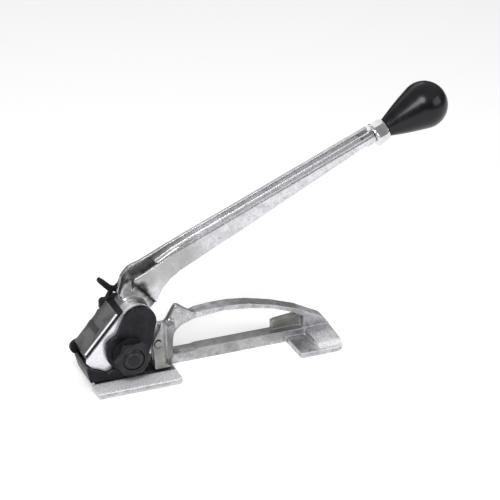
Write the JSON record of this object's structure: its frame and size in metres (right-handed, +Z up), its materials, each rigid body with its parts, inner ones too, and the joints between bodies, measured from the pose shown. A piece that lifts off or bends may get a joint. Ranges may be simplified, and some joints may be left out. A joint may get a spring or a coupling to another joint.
{
  "type": "strapping tensioner",
  "caption": "Hand tool for steel strap: a rocker with a knurled feed wheel, geared to a ratchet lever with a ball knob, on a cast base with a strap slot and a hand grip.",
  "frame": {"origin": "underside of the front foot, straight below the feed wheel's axis, in the plane of the near arm's outer face", "axes": "+X from the front foot to the rear foot, +Y away from the open strap side, +Z up"},
  "size_m": [0.3678, 0.071, 0.2375],
  "materials": {
    "zinc_casting": "mottled silver zinc casting",
    "lever_casting": "mottled silver zinc casting, worn brighter on the edges",
    "bright_plate": "bright plated plate",
    "bright_cover": "bright plated sheet",
    "grey_band": "plain grey band",
    "black_steel": "black oxide, satin",
    "black_hardware": "black oxide, satin",
    "black_plastic": "smooth black ball",
    "bright_collar": "plated",
    "bronze": "sintered bronze bush",
    "hardened_steel": "ground steel",
    "plain_steel": "turned steel"
  },
  "bodies": {
    "base": {"base_frame": "zinc_casting", "gripper_plate": "hardened_steel", "gripper_screw_front": "plain_steel", "gripper_screw_rear": "plain_steel", "rocker_pin": "plain_steel", "rocker_pin_clip": "plain_steel", "spring_screw": "plain_steel", "rocker_spring": "plain_steel"},
    "rocker": {"near_arm": "black_steel", "near_cheek": "bright_plate", "front_block": "black_steel", "front_cover": "bright_cover", "cover_band": "grey_band", "far_plate": "black_steel", "gear_guard": "black_steel", "block_screw_1": "black_hardware", "block_screw_2": "black_hardware", "guard_screw_1": "black_hardware", "guard_screw_2": "black_hardware", "feed_bush_near": "bronze", "feed_bush_far": "bronze", "holding_pawl_pin": "plain_steel", "spring_pin": "plain_steel"},
    "feed_train": {"feed_shaft": "black_hardware", "feed_wheel": "hardened_steel", "wheel_key": "plain_steel", "drive_gear": "hardened_steel", "gear_key": "plain_steel", "gear_clip": "plain_steel", "feed_washer": "black_hardware", "feed_nut": "black_hardware"},
    "upper_train": {"upper_shaft": "plain_steel", "pinion": "hardened_steel", "pinion_key": "plain_steel", "pinion_clip": "plain_steel", "ratchet_wheel": "hardened_steel", "ratchet_key": "plain_steel"},
    "lever": {"handle": "lever_casting", "hub_bush_near": "bronze", "hub_bush_far": "bronze", "drive_pawl_pin": "plain_steel", "drive_pawl_spring": "plain_steel", "knob_collar": "bright_collar", "knob_stud": "plain_steel", "knob": "black_plastic"},
    "drive_pawl": {"drive_pawl": "hardened_steel"},
    "holding_pawl": {"holding_pawl": "black_steel"}
  },
  "joints": [
    {"name": "rocker_lift", "type": "hinge", "parent": "base", "child": "rocker", "pos_m": [0.027, 0, 0.0355], "axis": [0, 1, 0], "range_deg": [0, 6], "stiffness_Nm_per_rad": 12, "springref_deg": -20.05, "deforming": ["rocker_spring"]},
    {"name": "lever_swing", "type": "hinge", "parent": "rocker", "child": "lever", "pos_m": [0.0101, 0, 0.0595], "axis": [0, 1, 0], "range_deg": [-18, 24]},
    {"name": "pinion_spin", "type": "hinge", "parent": "rocker", "child": "upper_train", "pos_m": [0.0101, 0, 0.0595], "axis": [0, 1, 0], "continuous": true},
    {"name": "feed_spin", "type": "hinge", "parent": "rocker", "child": "feed_train", "pos_m": [0, 0, 0.0302], "axis": [0, 1, 0], "continuous": true},
    {"name": "drive_pawl_lift", "type": "hinge", "parent": "lever", "child": "drive_pawl", "pos_m": [0.025, 0, 0.086], "axis": [0, 1, 0], "range_deg": [0, 12], "stiffness_Nm_per_rad": 0.3, "springref_deg": -17.19, "deforming": ["drive_pawl_spring"]},
    {"name": "holding_pawl_lift", "type": "hinge", "parent": "rocker", "child": "holding_pawl", "pos_m": [-0.0087, 0, 0.0636], "axis": [0, 1, 0], "range_deg": [-12, 10], "stiffness_Nm_per_rad": 0.3, "springref_deg": 17.19}
  ],
  "couplings": [
    {"joint": "feed_spin", "follows": "pinion_spin", "ratio": -0.63158}
  ]
}
